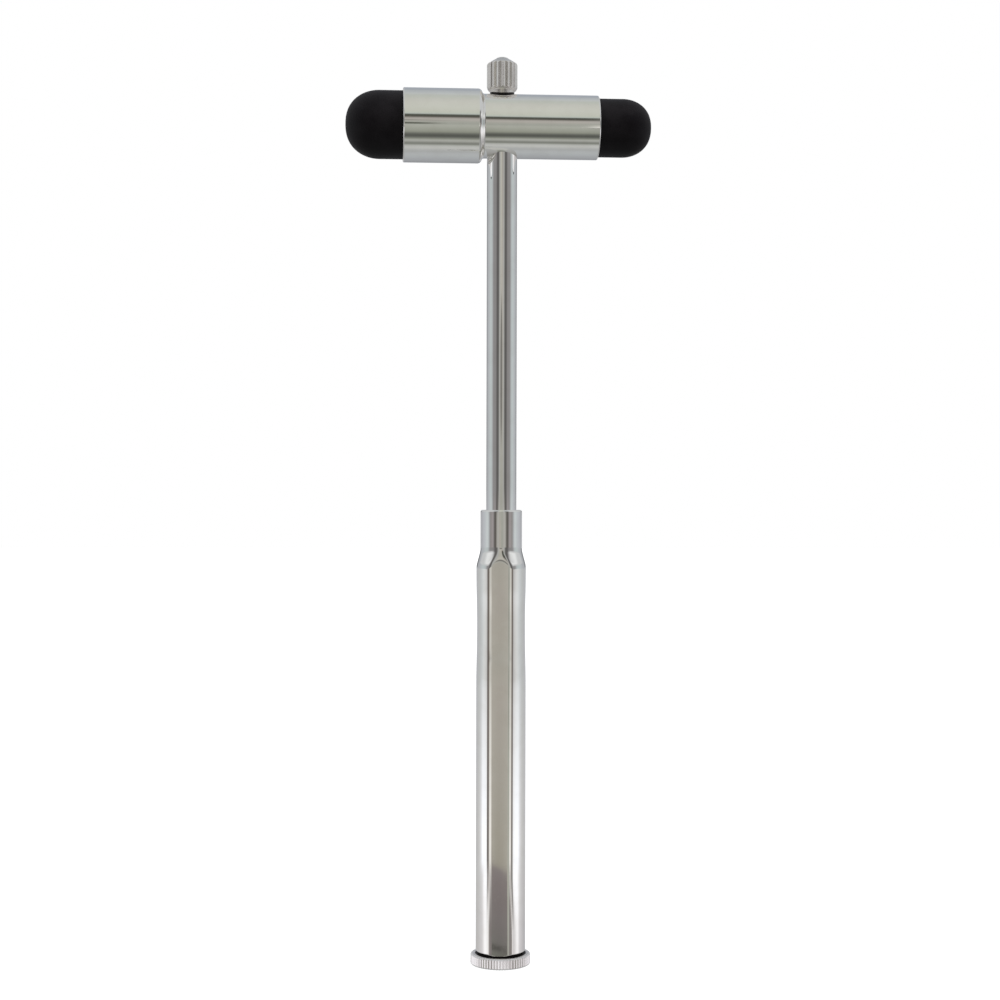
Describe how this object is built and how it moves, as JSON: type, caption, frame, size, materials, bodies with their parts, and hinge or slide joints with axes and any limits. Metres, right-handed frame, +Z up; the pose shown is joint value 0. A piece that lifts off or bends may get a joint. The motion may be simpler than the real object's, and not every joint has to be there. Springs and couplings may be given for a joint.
{
  "type": "neurological reflex hammer",
  "caption": "Chrome reflex hammer with a two-size rubber-tipped head, a pointed pin screwed into the head and a soft brush stored in its hollow handle, which has a flat down its front and back.",
  "frame": {"origin": "centre of the end cap's flat underside, on which the hammer stands upright", "axes": "+Z up the handle and shaft to the head, +X along the head towards the small mallet, -Y the side seen from the front"},
  "size_m": [0.0611, 0.0146, 0.1808],
  "materials": {
    "chrome": "polished plate",
    "knurled_chrome": "polished plate with a fine straight knurl",
    "satin_nickel": "satin, straight knurl",
    "needle_steel": "ground bright",
    "ferrule_metal": "drawn tube",
    "bristle": "soft pale nylon",
    "black_rubber": "matte moulded"
  },
  "bodies": {
    "brush": {"brush_ferrule": "ferrule_metal", "brush_bristles": "bristle"},
    "cap": {"end_cap": "knurled_chrome"},
    "hammer": {"handle": "chrome", "shaft": "chrome", "head_body": "chrome", "large_mallet": "black_rubber", "small_mallet": "black_rubber"},
    "pin": {"needle": "needle_steel"},
    "knob": {"needle_knob": "satin_nickel"}
  },
  "joints": [
    {"name": "cap_turn", "type": "hinge", "parent": "brush", "child": "cap", "pos_m": [0, 0, 0.006], "axis": [0, 0, 1], "range_deg": [0, 2880]},
    {"name": "handle_lift", "type": "slide", "parent": "brush", "child": "hammer", "axis": [0, 0, 1], "range_m": [0, 0.05]},
    {"name": "needle_draw", "type": "slide", "parent": "hammer", "child": "pin", "axis": [0, 0, 1], "range_m": [0, 0.04]},
    {"name": "knob_turn", "type": "hinge", "parent": "pin", "child": "knob", "pos_m": [0, 0, 0.17], "axis": [0, 0, 1], "range_deg": [0, 3960]}
  ]
}
